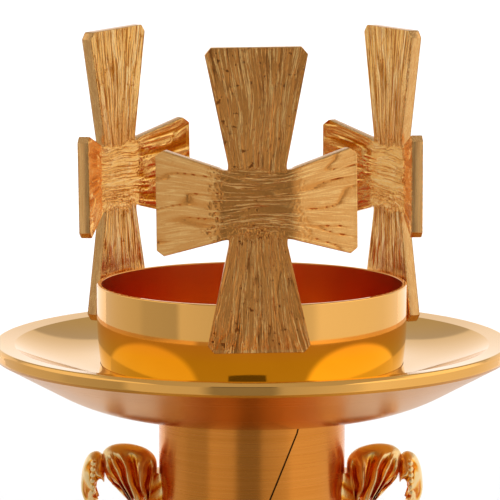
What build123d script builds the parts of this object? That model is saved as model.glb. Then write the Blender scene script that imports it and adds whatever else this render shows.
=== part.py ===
from build123d import *
import os
from math import atan2, cos, radians, sin, tan

os.makedirs("parts", exist_ok=True)

# Altar candlestick whose candle cup carries three cast crosses. Millimetres, +Z up.
# The origin is on the table, on the axis of the stem. The front cross faces -Y.

# ---- driving dimensions --------------------------------------------------------------
overall_height = 300.0
cross_rise = 83.7  # from the cup's rim to the highest corner of a cross
rim_z = overall_height - cross_rise

rod_radius = 5.0  # M10 tie rod that clamps the whole stack
rod_hole = 5.1
slip = 0.02  # radial play of turned pieces and screws in their seats

# Candle cup: a spun cup, straight at the top and very slightly bellied below.
cup_radius = 52.0
cup_straight = 9.0
cup_bore = 50.4
cup_bore_depth = 12.0  # the straight, gauged part of the bore
cup_height = 39.8
cup_floor = 1.5
belly_radius = 130.0
inner_belly_radius = 108.0

# Drip dish: a shallow tray with a lip and an outer band, and a well that the cup stands in.
dish_radius = 87.0
dish_lip_z = rim_z - 19.4
dish_lip_width = 7.45
dish_lip_fall = 0.7
dish_band = 4.85
dish_bend_radius = 56.5
dish_foot_z = rim_z - 43.8
dish_tray_slope = 26.0
dish_well_radius = 51.0

# Crosses: flared arms, the side arms bent in towards the cup.
cross_thickness = 4.0
cross_foot = 15.0  # how far the foot laps down over the cup's wall
cross_back = cup_radius - 0.4
cross_end = 16.5  # half width of the top and bottom ends
cross_waist = 8.9
cross_chamfer = 2.4
arm_reach = 32.6  # half span of the side arms, seen from the front
arm_axis = 33.0  # height of the side arms' centre above the rim
arm_root = 10.6  # half height of a side arm at the centre block
arm_end = 17.1
arm_crease = 12.0
arm_set_in = 8.4  # how far the front edge of a bent arm's end lies behind the centre's front

# Stem
stem_radius = 31.3
stem_wall = 2.0
plug_height = 8.0

# Base
base_radius = 90.0
base_top_z = 28.0
base_sheet = 1.8
felt_height = 2.0
plate_height = 1.5
weight_radius = 64.0

# Leaf scrolls
scroll_top = 54.6  # all scroll depths are measured down from the cup's rim
scroll_foot = 124.0
scroll_half_width = 13.0

screw_spacing = 4.6  # half spacing of the two screws behind each cross
screw_depth = 11.0
screw_radius = 1.25
screw_head_radius = 2.2
screw_head_height = 0.95
screw_length = 4.2


def soften(section, corners):
    """Round corners of a turned section; each corner is (radius, height, fillet)."""
    for r, z, size in corners:
        fillet(section.vertices().sort_by_distance((r, z))[0], size)


def save(piece, name):
    piece.part.label = name
    export_step(piece.part, f"parts/{name}.step")


# ---- candle cup ----------------------------------------------------------------------
def cup_outside(depth):
    return cup_radius - max(0.0, depth - cup_straight) ** 2 / (2 * belly_radius)


def cup_inside(depth):
    return cup_bore - (depth - cup_bore_depth) ** 2 / (2 * inner_belly_radius)


def outward(azimuth):
    """Unit vector pointing out of the cup at a cross; azimuth 0 is the front."""
    return Vector(sin(radians(azimuth)), -cos(radians(azimuth)), 0)


def facing_plane(azimuth, radius, height):
    """A plane square to the radius: local X runs round the cup and local Y is up."""
    out = outward(azimuth)
    around = Vector(cos(radians(azimuth)), sin(radians(azimuth)), 0)
    origin = out * radius + Vector(0, 0, height)
    return Plane(origin=origin, x_dir=around, z_dir=out)


# Hand fitted: each cross sits a little off its third of the circle, and two lean on their screws.
cross_azimuths = {"cross_front": 2.5, "cross_rear_left": -121.7, "cross_rear_right": 117.3}
cross_leans = {"cross_front": 0.6, "cross_rear_left": -1.5, "cross_rear_right": 0}
# The heads lie just behind the bore, so that a candle slides past them.
screw_seat = (cup_bore**2 - (screw_spacing - screw_head_radius) ** 2) ** 0.5
screw_places = [(-screw_spacing, 0), (screw_spacing, 0)]

inside_depth = cup_height - cup_floor
with BuildPart() as candle_cup:
    with BuildSketch(Plane.XZ) as section:
        with BuildLine():
            Line((cup_radius, rim_z), (cup_radius, rim_z - cup_straight))
            belly_middle = (cup_straight + cup_height) / 2
            ThreePointArc(
                (cup_radius, rim_z - cup_straight),
                (cup_outside(belly_middle), rim_z - belly_middle),
                (cup_outside(cup_height), rim_z - cup_height),
            )
            Polyline(
                (cup_outside(cup_height), rim_z - cup_height),
                (rod_hole, rim_z - cup_height),
                (rod_hole, rim_z - inside_depth),
                (cup_inside(inside_depth), rim_z - inside_depth),
            )
            halfway = (cup_bore_depth + inside_depth) / 2
            ThreePointArc(
                (cup_inside(inside_depth), rim_z - inside_depth),
                (cup_inside(halfway), rim_z - halfway),
                (cup_bore, rim_z - cup_bore_depth),
            )
            Polyline(
                (cup_bore, rim_z - cup_bore_depth),
                (cup_bore, rim_z),
                (cup_radius, rim_z),
            )
        make_face()
        soften(
            section,
            [
                (cup_outside(cup_height), rim_z - cup_height, 6.0),
                (cup_inside(inside_depth), rim_z - inside_depth, 4.5),
                (cup_bore, rim_z, 0.35),
                (cup_radius, rim_z, 0.6),
            ],
        )
    revolve(axis=Axis.Z)
    for azimuth in cross_azimuths.values():
        inner_face = facing_plane(azimuth, screw_seat, rim_z - screw_depth)
        with BuildSketch(inner_face):
            with Locations(*screw_places):
                Circle(screw_radius + slip)
        extrude(amount=4, mode=Mode.SUBTRACT)
        with BuildSketch(inner_face):
            with Locations(*screw_places):
                Circle(screw_head_radius + slip)
        extrude(amount=-1, mode=Mode.SUBTRACT)
        with BuildSketch(inner_face):
            with Locations(*screw_places):
                Circle(screw_head_radius + slip)
        extrude(amount=screw_head_height, taper=45, mode=Mode.SUBTRACT)
save(candle_cup, "candle_cup")


# ---- crosses -------------------------------------------------------------------------
bend = atan2(arm_set_in, arm_reach - arm_crease)  # angle of the bent side arms
arm_overrun = 0.5  # the front outline runs past the arm's end, whose face it must not cut


def leaning_plane(azimuth, lean):
    """The plane of a cross's back, turned about the middle of its two screws."""
    pivot = facing_plane(azimuth, cross_back, rim_z - screw_depth)
    across = pivot.x_dir * cos(radians(lean)) + Vector(0, 0, sin(radians(lean)))
    upward = Vector(0, 0, cos(radians(lean))) - pivot.x_dir * sin(radians(lean))
    return Plane(origin=pivot.origin + upward * screw_depth, x_dir=across, z_dir=pivot.z_dir)


def build_cross(azimuth, lean):
    """One cast cross: a flat flared upright, and side arms bent in towards the cup."""
    face = leaning_plane(azimuth, lean)
    level = Plane(origin=face.origin, x_dir=face.x_dir, z_dir=face.y_dir)
    # A leaning cross is a little shorter, so that its highest corner is at the same height.
    corner_lift = (cross_end - cross_chamfer) * sin(radians(abs(lean)))
    top = (cross_rise + screw_depth - corner_lift) / cos(radians(lean)) - screw_depth
    with BuildPart() as cross:
        # Plan of the bent side arms; local Y points in, towards the axis.
        with BuildSketch(level.offset(arm_axis - arm_end)):
            with BuildLine():
                right = [
                    (arm_crease - cross_thickness * tan(bend / 2), 0),
                    (
                        arm_reach - cross_thickness * sin(bend),
                        arm_set_in - cross_thickness * (1 - cos(bend)),
                    ),
                    (arm_reach, arm_set_in - cross_thickness),
                    (arm_crease, -cross_thickness),
                ]
                left = [(-x, y) for x, y in reversed(right)]
                Polyline(*right, *left, close=True)
            make_face()
        extrude(amount=2 * arm_end)
        # Front outline of the side arms.
        with BuildSketch(face):
            with BuildLine():
                right = [
                    (cross_waist, arm_axis + arm_root),
                    (arm_reach - cross_chamfer, arm_axis + arm_end),
                    (arm_reach + arm_overrun, arm_axis + arm_end - cross_chamfer - arm_overrun),
                    (arm_reach + arm_overrun, arm_axis - arm_end + cross_chamfer + arm_overrun),
                    (arm_reach - cross_chamfer, arm_axis - arm_end),
                    (cross_waist, arm_axis - arm_root),
                ]
                left = [(-x, y) for x, y in reversed(right)]
                Polyline(*right, *left, close=True)
            make_face()
        extrude(amount=30, both=True, mode=Mode.INTERSECT)
        # The flat upright.
        with BuildSketch(face):
            with BuildLine():
                right = [
                    (cross_end - cross_chamfer, top),
                    (cross_end, top - cross_chamfer),
                    (cross_waist, arm_axis + arm_root),
                    (cross_waist, arm_axis - arm_root),
                    (cross_end, cross_chamfer - cross_foot),
                    (cross_end - cross_chamfer, -cross_foot),
                ]
                left = [(-x, y) for x, y in reversed(right)]
                Polyline(*right, *left, close=True)
            make_face()
        extrude(amount=cross_thickness)
        # Shallow saddle that seats the foot on the cup, and the two tapped holes.
        with BuildSketch(Plane.XY.offset(rim_z - cross_foot - 1)):
            Circle(cup_radius + slip)
        extrude(amount=cross_foot + 1, mode=Mode.SUBTRACT)
        with BuildSketch(facing_plane(azimuth, screw_seat, rim_z - screw_depth)):
            with Locations(*screw_places):
                Circle(screw_radius + slip)
        extrude(amount=screw_length + 0.1, mode=Mode.SUBTRACT)
    return cross


for name, azimuth in cross_azimuths.items():
    save(build_cross(azimuth, cross_leans[name]), name)

with BuildPart() as cross_screws:
    for azimuth in cross_azimuths.values():
        head = facing_plane(azimuth, screw_seat, rim_z - screw_depth)
        with BuildSketch(head):
            with Locations(*screw_places):
                Circle(screw_head_radius)
        extrude(amount=screw_head_height, taper=45)
        with BuildSketch(head):
            with Locations(*screw_places):
                Circle(screw_radius)
        extrude(amount=screw_length)
        with BuildSketch(head):
            with Locations(*screw_places):
                Rectangle(3.2, 0.5)
        extrude(amount=0.45, mode=Mode.SUBTRACT)
save(cross_screws, "cross_screws")


# ---- drip dish -----------------------------------------------------------------------
dish_bend_z = dish_foot_z + 3.4
dish_band_z = dish_lip_z - dish_band
dish_seat_z = rim_z - 41.3
dish_seat_radius = 38.0
lip_inner = dish_radius - dish_lip_width
lip_inner_z = dish_lip_z - dish_lip_fall
# The tray is an arc, level where it meets the well and steepest at the lip.
steepest = radians(dish_tray_slope)
tray_hollow = (lip_inner - dish_well_radius) / sin(steepest)
tray_low_z = lip_inner_z - tray_hollow * (1 - cos(steepest))
tray_middle = (
    dish_well_radius + tray_hollow * sin(steepest / 2),
    tray_low_z + tray_hollow * (1 - cos(steepest / 2)),
)

with BuildPart() as drip_dish:
    with BuildSketch(Plane.XZ) as section:
        with BuildLine():
            ThreePointArc((lip_inner, lip_inner_z), tray_middle, (dish_well_radius, tray_low_z))
            Polyline(
                (dish_well_radius, tray_low_z),
                (dish_well_radius, dish_seat_z + 2.2),
                (dish_seat_radius, dish_seat_z),
                (rod_hole, dish_seat_z),
                (rod_hole, dish_foot_z),
                (stem_radius + 0.2, dish_foot_z),
                (dish_bend_radius, dish_bend_z),
                (dish_radius, dish_band_z),
                (dish_radius, dish_lip_z),
                (lip_inner, lip_inner_z),
            )
        make_face()
        soften(
            section,
            [
                (dish_bend_radius, dish_bend_z, 60.0),
                (lip_inner, lip_inner_z, 0.8),
                (dish_radius, dish_lip_z, 0.6),
                (dish_radius, dish_band_z, 0.6),
            ],
        )
    revolve(axis=Axis.Z)
save(drip_dish, "drip_dish")

cup_bottom_z = rim_z - cup_height
with BuildPart() as cup_spacer:
    with BuildSketch(Plane.XY.offset(dish_seat_z)):
        Circle(30)
        Circle(rod_hole, mode=Mode.SUBTRACT)
    extrude(amount=cup_bottom_z - dish_seat_z)
save(cup_spacer, "cup_spacer")


# ---- stem ----------------------------------------------------------------------------
stem_length = dish_foot_z - base_top_z
line_depth = 0.4
line_width = 0.55
line_top = (15.9, dish_foot_z)  # where the engraved line starts, seen from the front
line_foot = (-16.0, rim_z - 121.6)
scroll_screw_radius = 2.0
scroll_screw_heights = (rim_z - 84.0, rim_z - 110.0)
tube_bore = stem_radius - stem_wall


def side_plane(side, radius):
    """A plane square to X on the right (side 1) or the left (side -1) of the stem."""
    return Plane(origin=(side * radius, 0, 0), x_dir=(0, side, 0), z_dir=(side, 0, 0))


with BuildPart() as stem_tube:
    with BuildSketch(Plane.XY.offset(base_top_z)):
        Circle(stem_radius)
        Circle(tube_bore, mode=Mode.SUBTRACT)
    extrude(amount=stem_length)
    for side in (-1, 1):
        with BuildSketch(side_plane(side, 0)):
            with Locations(*[(0, height) for height in scroll_screw_heights]):
                Circle(scroll_screw_radius + slip)
        extrude(amount=stem_radius + 1, mode=Mode.SUBTRACT)
    # The engraved line: a slanted strip that reaches just under the tube's surface.
    with BuildSketch(Plane.XZ) as strip:
        with BuildLine():
            Polyline(
                (line_top[0] - line_width / 2, line_top[1] + 1),
                (line_top[0] + line_width / 2, line_top[1] + 1),
                (line_foot[0] + line_width / 2, line_foot[1]),
                (line_foot[0] - line_width / 2, line_foot[1]),
                close=True,
            )
        make_face()
    slanted = extrude(amount=stem_radius + 1, mode=Mode.PRIVATE)
    core = Cylinder(
        stem_radius - line_depth,
        2 * stem_length,
        align=(Align.CENTER, Align.CENTER, Align.MIN),
        mode=Mode.PRIVATE,
    )
    add(slanted - core, mode=Mode.SUBTRACT)
save(stem_tube, "stem_tube")

for name, low in (("stem_top_plug", dish_foot_z - plug_height), ("stem_bottom_plug", base_top_z)):
    with BuildPart() as plug:
        with BuildSketch(Plane.XY.offset(low)):
            Circle(tube_bore - slip)
            Circle(rod_hole, mode=Mode.SUBTRACT)
        extrude(amount=plug_height)
        chamfer(plug.edges().filter_by(GeomType.CIRCLE).sort_by(SortBy.RADIUS)[-2:], 0.8)
    save(plug, name)


# ---- leaf scrolls on the stem --------------------------------------------------------
def build_scroll(side):
    """A cast leaf that rises along the stem and curls out and down at its top."""
    profile = Plane(origin=(0, 0, rim_z), x_dir=(side, 0, 0), z_dir=(0, -side, 0))
    with BuildPart() as scroll:
        with BuildSketch(profile):
            with BuildLine():
                Spline(
                    (30.0, -59.5),
                    (36.0, -56.0),
                    (43.0, -scroll_top),
                    (51.0, -57.0),
                    (56.5, -62.5),
                    (58.5, -70.5),
                    (56.0, -79.0),
                )
                Spline(
                    (56.0, -79.0),
                    (52.5, -74.0),
                    (49.0, -67.0),
                    (44.5, -66.5),
                    (42.0, -74.0),
                    (43.5, -88.0),
                    (45.0, -100.0),
                    (40.0, -115.0),
                    (31.0, -scroll_foot),
                )
                Polyline((31.0, -scroll_foot), (30.0, -scroll_foot), (30.0, -59.5))
            make_face()
        extrude(amount=scroll_half_width, both=True)
        with BuildSketch(Plane.XY.offset(rim_z - scroll_foot - 1)):
            Circle(stem_radius + slip)
        extrude(amount=scroll_foot, mode=Mode.SUBTRACT)
        with BuildSketch(side_plane(side, 0)):
            with Locations(*[(0, height) for height in scroll_screw_heights]):
                Circle(scroll_screw_radius + slip)
        extrude(amount=stem_radius + 6.2, mode=Mode.SUBTRACT)
    return scroll


for name, side in (("leaf_scroll_left", -1), ("leaf_scroll_right", 1)):
    save(build_scroll(side), name)

with BuildPart() as scroll_screws:
    head_face = 29.05  # the heads' flat undersides just touch the bore of the tube
    for side in (-1, 1):
        places = [(0, height) for height in scroll_screw_heights]
        with BuildSketch(side_plane(side, head_face - 2.5)):
            with Locations(*places):
                Circle(3.5)
        extrude(amount=2.5)
        with BuildSketch(side_plane(side, head_face)):
            with Locations(*places):
                Circle(scroll_screw_radius)
        extrude(amount=stem_radius + 6 - head_face)
save(scroll_screws, "scroll_screws")


# ---- base ----------------------------------------------------------------------------
shell_low = felt_height
band_top = shell_low + 5.5
slope_foot = (base_radius - 8.0, band_top + 1.5)
slope_head = (52.0, base_top_z - 3.0)
flat_radius = 40.0
shell_bore = base_radius - base_sheet

with BuildPart() as base_shell:
    with BuildSketch(Plane.XZ) as section:
        with BuildLine():
            Polyline(
                (base_radius, shell_low),
                (base_radius, band_top),
                slope_foot,
                slope_head,
                (flat_radius, base_top_z),
                (rod_hole, base_top_z),
                (rod_hole, base_top_z - base_sheet),
                (flat_radius, base_top_z - base_sheet),
                (slope_head[0], slope_head[1] - base_sheet),
                (slope_foot[0] - 1, slope_foot[1] - base_sheet),
                (shell_bore, band_top - base_sheet + 0.6),
                (shell_bore, shell_low),
                close=True,
            )
        make_face()
        soften(
            section,
            [
                (base_radius, band_top, 0.8),
                (slope_foot[0], slope_foot[1], 14.0),
                (slope_head[0], slope_head[1], 22.0),
                (slope_head[0], slope_head[1] - base_sheet, 22.0),
            ],
        )
    revolve(axis=Axis.Z)
save(base_shell, "base_shell")

with BuildPart() as base_collar:
    with BuildSketch(Plane.XZ) as section:
        with Locations((stem_radius + slip, base_top_z)):
            Rectangle(6.0, 8.0, align=(Align.MIN, Align.MIN))
        soften(
            section,
            [
                (stem_radius + slip + 6, base_top_z + 8, 3.5),
                (stem_radius + slip + 6, base_top_z, 2.5),
                (stem_radius + slip, base_top_z + 8, 0.8),
            ],
        )
    revolve(axis=Axis.Z)
save(base_collar, "base_collar")

plate_top = felt_height + plate_height
recess_radius = 17.0
recess_top = 14.0
weight_step = 12.0
plate_screw_circle = 50.0
plate_screw_radius = 2.0
plate_screw_length = 7.0

with BuildPart() as base_weight:
    with BuildSketch(Plane.XZ) as section:
        with BuildLine():
            Polyline(
                (recess_radius, plate_top),
                (weight_radius, plate_top),
                (weight_radius, weight_step),
                (32.0, weight_step + 2),
                (28.0, base_top_z - base_sheet),
                (rod_hole, base_top_z - base_sheet),
                (rod_hole, recess_top),
                (recess_radius, recess_top),
                close=True,
            )
        make_face()
    revolve(axis=Axis.Z)
    with BuildSketch(Plane.XY.offset(plate_top)):
        with PolarLocations(plate_screw_circle, 3, start_angle=90):
            Circle(plate_screw_radius + slip)
    extrude(amount=plate_screw_length, mode=Mode.SUBTRACT)
save(base_weight, "base_weight")

plate_head_radius = plate_screw_radius + plate_height - 0.1
with BuildPart() as base_plate:
    with BuildSketch(Plane.XY.offset(felt_height)):
        Circle(shell_bore - 0.1)
        with PolarLocations(plate_screw_circle, 3, start_angle=90):
            Circle(plate_screw_radius + slip, mode=Mode.SUBTRACT)
    extrude(amount=plate_height)
    with BuildSketch(Plane.XY.offset(felt_height)):
        with PolarLocations(plate_screw_circle, 3, start_angle=90):
            Circle(plate_head_radius + slip)
    extrude(amount=plate_height - 0.1, taper=45, mode=Mode.SUBTRACT)
save(base_plate, "base_plate")

with BuildPart() as plate_screws:
    with BuildSketch(Plane.XY.offset(felt_height)):
        with PolarLocations(plate_screw_circle, 3, start_angle=90):
            Circle(plate_head_radius)
    extrude(amount=plate_height - 0.1, taper=45)
    with BuildSketch(Plane.XY.offset(felt_height)):
        with PolarLocations(plate_screw_circle, 3, start_angle=90):
            Circle(plate_screw_radius)
    extrude(amount=plate_screw_length)
save(plate_screws, "plate_screws")

with BuildPart() as felt_pad:
    with BuildSketch(Plane.XY):
        Circle(shell_bore - 1.2)
    extrude(amount=felt_height)
save(felt_pad, "felt_pad")


# ---- tie rod, nuts and washers -------------------------------------------------------
washer_height = 1.6
nut_flats = 17.0
bottom_nut_height = 6.0
top_nut_height = 5.0
cup_floor_z = rim_z - inside_depth
top_nut_z = cup_floor_z + washer_height
bottom_washer_z = recess_top - washer_height
bottom_nut_z = bottom_washer_z - bottom_nut_height

with BuildPart() as tie_rod:
    with BuildSketch(Plane.XY.offset(bottom_nut_z - 1)):
        Circle(rod_radius)
    extrude(amount=top_nut_z + top_nut_height - bottom_nut_z + 1)
    chamfer(tie_rod.edges().filter_by(GeomType.CIRCLE), 0.8)
save(tie_rod, "tie_rod")

for name, low, radius in (
    ("top_washer", cup_floor_z, 15.0),
    ("bottom_washer", bottom_washer_z, 14.0),
):
    with BuildPart() as washer:
        with BuildSketch(Plane.XY.offset(low)):
            Circle(radius)
            Circle(rod_hole, mode=Mode.SUBTRACT)
        extrude(amount=washer_height)
    save(washer, name)

for name, low, height in (
    ("top_nut", top_nut_z, top_nut_height),
    ("bottom_nut", bottom_nut_z, bottom_nut_height),
):
    with BuildPart() as nut:
        with BuildSketch(Plane.XY.offset(low)):
            RegularPolygon(nut_flats / 2, 6, major_radius=False)
            Circle(rod_radius + slip, mode=Mode.SUBTRACT)
        extrude(amount=height)
    save(nut, name)
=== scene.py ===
import math

import bmesh
import bpy
import numpy as np
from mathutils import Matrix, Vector


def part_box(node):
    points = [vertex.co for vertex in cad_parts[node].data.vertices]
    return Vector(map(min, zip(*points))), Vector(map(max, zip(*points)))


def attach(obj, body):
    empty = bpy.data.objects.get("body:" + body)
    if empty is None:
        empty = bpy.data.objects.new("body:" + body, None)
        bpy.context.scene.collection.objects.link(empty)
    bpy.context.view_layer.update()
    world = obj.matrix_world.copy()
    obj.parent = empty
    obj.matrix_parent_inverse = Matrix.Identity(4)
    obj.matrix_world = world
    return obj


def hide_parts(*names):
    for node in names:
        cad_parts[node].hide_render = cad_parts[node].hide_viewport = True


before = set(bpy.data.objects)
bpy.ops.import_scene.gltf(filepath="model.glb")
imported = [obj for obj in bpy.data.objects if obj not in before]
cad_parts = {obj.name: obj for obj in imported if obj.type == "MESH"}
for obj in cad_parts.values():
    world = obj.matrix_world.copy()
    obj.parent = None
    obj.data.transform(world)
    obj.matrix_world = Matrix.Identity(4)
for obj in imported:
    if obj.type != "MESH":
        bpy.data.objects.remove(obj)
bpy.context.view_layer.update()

# Shapes are worked out in millimetres and put into Blender in metres.
MM = 0.001


# ---- places taken from the frame -----------------------------------------------------
def corner_mm(node, high):
    """The lowest or highest corner of a CAD node's box, in millimetres."""
    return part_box(node)[1 if high else 0] / MM


RIM_Z = corner_mm("candle_cup", True).z
CUP_RADIUS = round(corner_mm("candle_cup", True).x, 1)
CUP_FOOT_Z = corner_mm("candle_cup", False).z
DISH_RADIUS = round(corner_mm("drip_dish", True).x, 1)
DISH_LIP_Z = corner_mm("drip_dish", True).z
DISH_FOOT_Z = corner_mm("drip_dish", False).z
STEM_RADIUS = round(corner_mm("stem_tube", True).x, 1)
STEM_LOW_Z = corner_mm("stem_tube", False).z
STEM_TOP_Z = corner_mm("stem_tube", True).z
BASE_RADIUS = round(corner_mm("base_shell", True).x, 1)
BASE_LOW_Z = corner_mm("base_shell", False).z
BASE_TOP_Z = corner_mm("base_shell", True).z
ROD_HOLE = 5.1


# ---- number fields -------------------------------------------------------------------
def smoothstep(value, low, high):
    t = np.clip((value - low) / (high - low), 0.0, 1.0)
    return t * t * (3.0 - 2.0 * t)


def field_noise(x, y, seed):
    """Smooth seeded noise from 0 to 1, one feature per unit of x and y."""
    table = np.random.default_rng(seed).random((256, 256))
    x, y = np.broadcast_arrays(np.asarray(x, float), np.asarray(y, float))
    column = np.floor(x).astype(int)
    row = np.floor(y).astype(int)
    fx = x - column
    fy = y - row
    fx = fx * fx * (3 - 2 * fx)
    fy = fy * fy * (3 - 2 * fy)
    here = table[column & 255, row & 255]
    right = table[(column + 1) & 255, row & 255]
    above = table[column & 255, (row + 1) & 255]
    corner = table[(column + 1) & 255, (row + 1) & 255]
    return (here * (1 - fx) + right * fx) * (1 - fy) + (above * (1 - fx) + corner * fx) * fy


def ridge(noise):
    """Turns smooth noise into thin crests: 1 on a crest, 0 away from it."""
    return 1.0 - np.abs(2.0 * noise - 1.0)


# ---- mesh helpers --------------------------------------------------------------------
def mesh_piece(name, points_mm, quads, material_index=None):
    """A mesh object from millimetre points and quads."""
    mesh = bpy.data.meshes.new(name)
    mesh.vertices.add(len(points_mm))
    mesh.vertices.foreach_set("co", (np.asarray(points_mm) * MM).astype(np.float32).ravel())
    mesh.loops.add(4 * len(quads))
    mesh.loops.foreach_set("vertex_index", np.asarray(quads, np.int32).ravel())
    mesh.polygons.add(len(quads))
    mesh.polygons.foreach_set("loop_start", np.arange(0, 4 * len(quads), 4, dtype=np.int32))
    mesh.polygons.foreach_set("use_smooth", np.ones(len(quads), bool))
    if material_index is not None:
        mesh.polygons.foreach_set("material_index", np.asarray(material_index, np.int32))
    mesh.update(calc_edges=True)
    piece = bpy.data.objects.new(name, mesh)
    bpy.context.scene.collection.objects.link(piece)
    return piece


def grid_quads(rows, columns, start=0, close_rows=False, close_columns=False):
    """Quads of a grid of points stored row after row."""
    i = np.arange(rows if close_rows else rows - 1)
    j = np.arange(columns if close_columns else columns - 1)
    i, j = np.meshgrid(i, j, indexing="ij")
    i2 = (i + 1) % rows
    j2 = (j + 1) % columns
    corners = [i * columns + j, i * columns + j2, i2 * columns + j2, i2 * columns + j]
    return start + np.stack(corners, axis=-1).reshape(-1, 4)


def store(piece, name, kind, field, parts):
    """Keeps values, given part by part, on the mesh's points for the materials to read."""
    attribute = piece.data.attributes.new(name, kind, "POINT")
    attribute.data.foreach_set(field, np.concatenate(parts).astype(np.float32).ravel())


def weld(piece, distance_mm=0.002):
    """Joins coincident points and turns every face outwards."""
    bm = bmesh.new()
    bm.from_mesh(piece.data)
    bmesh.ops.remove_doubles(bm, verts=bm.verts, dist=distance_mm * MM)
    bmesh.ops.recalc_face_normals(bm, faces=bm.faces)
    bm.to_mesh(piece.data)
    bm.free()


def finish_piece(piece, materials, node, sharp_degrees=None):
    """Materials, sharp edges, and what the piece stands for in the frame."""
    for material in materials:
        piece.data.materials.append(material)
    if sharp_degrees is not None:
        piece.data.set_sharp_from_angle(angle=math.radians(sharp_degrees))
    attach(piece, "root")
    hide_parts(node)
    return piece


def rounded_path(corners, steps=7):
    """Outline through (r, z, radius) corners, closed, with an arc at each corner."""
    path = []
    count = len(corners)
    for k, (r, z, radius) in enumerate(corners):
        here = np.array([r, z], float)
        before = np.array(corners[k - 1][:2], float) - here
        after = np.array(corners[(k + 1) % count][:2], float) - here
        if radius <= 0:
            path.append(here)
            continue
        before /= np.linalg.norm(before)
        after /= np.linalg.norm(after)
        half_angle = math.acos(np.clip(before @ after, -1, 1)) / 2
        tangent_length = radius / math.tan(half_angle)
        middle = before + after
        centre = here + middle / np.linalg.norm(middle) * radius / math.sin(half_angle)
        first = here + before * tangent_length - centre
        last = here + after * tangent_length - centre
        turn = math.atan2(first[0] * last[1] - first[1] * last[0], first @ last)
        for step in range(steps + 1):
            a = turn * step / steps
            spoke = [
                first[0] * math.cos(a) - first[1] * math.sin(a),
                first[0] * math.sin(a) + first[1] * math.cos(a),
            ]
            path.append(centre + np.array(spoke))
    return np.array(path)


def lathe(name, path, segments, slot_of=None):
    """A closed section (r, z) turned about the stem's axis, with true surface normals.

    slot_of(r, z, out_r, out_z) gives the material slot of a face from its place and direction.
    """
    count = len(path)
    angles = np.linspace(0, 2 * math.pi, segments, endpoint=False)
    ring = np.stack([np.cos(angles), np.sin(angles)], axis=-1)
    points = np.empty((segments, count, 3))
    points[:, :, :2] = ring[:, None, :] * path[None, :, :1]
    points[:, :, 2] = path[None, :, 1]
    step = np.roll(path, -1, axis=0) - path
    length = np.linalg.norm(step, axis=1)
    area = 0.5 * np.sum(path[:, 0] * np.roll(path[:, 1], -1) - np.roll(path[:, 0], -1) * path[:, 1])
    outward = np.stack([step[:, 1], -step[:, 0]], axis=-1) * np.sign(area)
    # A long straight stretch decides the normal where it meets a short arc step.
    weighted = outward * length[:, None] ** 2
    normal = weighted + np.roll(weighted, 1, axis=0)
    normal /= np.linalg.norm(normal, axis=1)[:, None]
    normals = np.empty_like(points)
    normals[:, :, :2] = ring[:, None, :] * normal[None, :, :1]
    normals[:, :, 2] = normal[None, :, 1]
    quads = grid_quads(segments, count, close_rows=True, close_columns=True)
    if area > 0:
        quads = quads[:, ::-1]
    middle = (path + np.roll(path, -1, axis=0)) / 2
    facing = outward / np.maximum(length, 1e-9)[:, None]
    material_index = None
    if slot_of is not None:
        slots = [int(slot_of(*m, *f)) for m, f in zip(middle, facing)]
        material_index = np.tile(slots, segments)
    piece = mesh_piece(name, points.reshape(-1, 3), quads, material_index)
    piece.data.normals_split_custom_set_from_vertices(normals.reshape(-1, 3).tolist())
    return piece


# ---- materials -----------------------------------------------------------------------
GOLD = (0.96, 0.495, 0.125)
GOLD_DEEP = (0.92, 0.46, 0.105)


class Nodes:
    """A node tree, with short calls that add nodes and join them."""

    def __init__(self, tree):
        self.tree = tree

    def add(self, kind, **inputs):
        node = self.tree.nodes.new(kind)
        for key, value in inputs.items():
            self.set(node, key.replace("_", " "), value)
        return node

    def set(self, node, key, value):
        socket = node.inputs[int(key)] if key.isdigit() else node.inputs[key]
        if isinstance(value, bpy.types.NodeSocket):
            self.tree.links.new(value, socket)
        else:
            socket.default_value = value

    def math(self, operation, a, b=0.0):
        node = self.add("ShaderNodeMath")
        node.operation = operation
        self.set(node, "0", a)
        self.set(node, "1", b)
        return node.outputs[0]

    def plus(self, total, field, amount):
        """total + field * amount."""
        return self.math("ADD", total, self.math("MULTIPLY", field, amount))

    def stored(self, name):
        """A value kept on the mesh's points."""
        node = self.add("ShaderNodeAttribute")
        node.attribute_name = name
        return node

    def noise(self, vector, scale=1.0, detail=2.0, roughness=0.5):
        inputs = {"Vector": vector, "Scale": scale, "Detail": detail, "Roughness": roughness}
        return self.add("ShaderNodeTexNoise", **inputs).outputs["Fac"]

    def ramp(self, value, stops):
        """Colour ramp; stops are (position, colour or grey value)."""
        node = self.add("ShaderNodeValToRGB", Fac=value)
        elements = node.color_ramp.elements
        while len(elements) < len(stops):
            elements.new(0.5)
        for element, (position, colour) in zip(elements, stops):
            element.position = position
            if isinstance(colour, float):
                colour = (colour, colour, colour)
            element.color = (*colour, 1.0)
        return node.outputs["Color"]

    def bump(self, height, distance_mm, strength=1.0, normal=None):
        node = self.add("ShaderNodeBump", Height=height, Strength=strength)
        node.inputs["Distance"].default_value = distance_mm * MM
        if normal is not None:
            self.set(node, "Normal", normal)
        return node.outputs[0]


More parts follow.
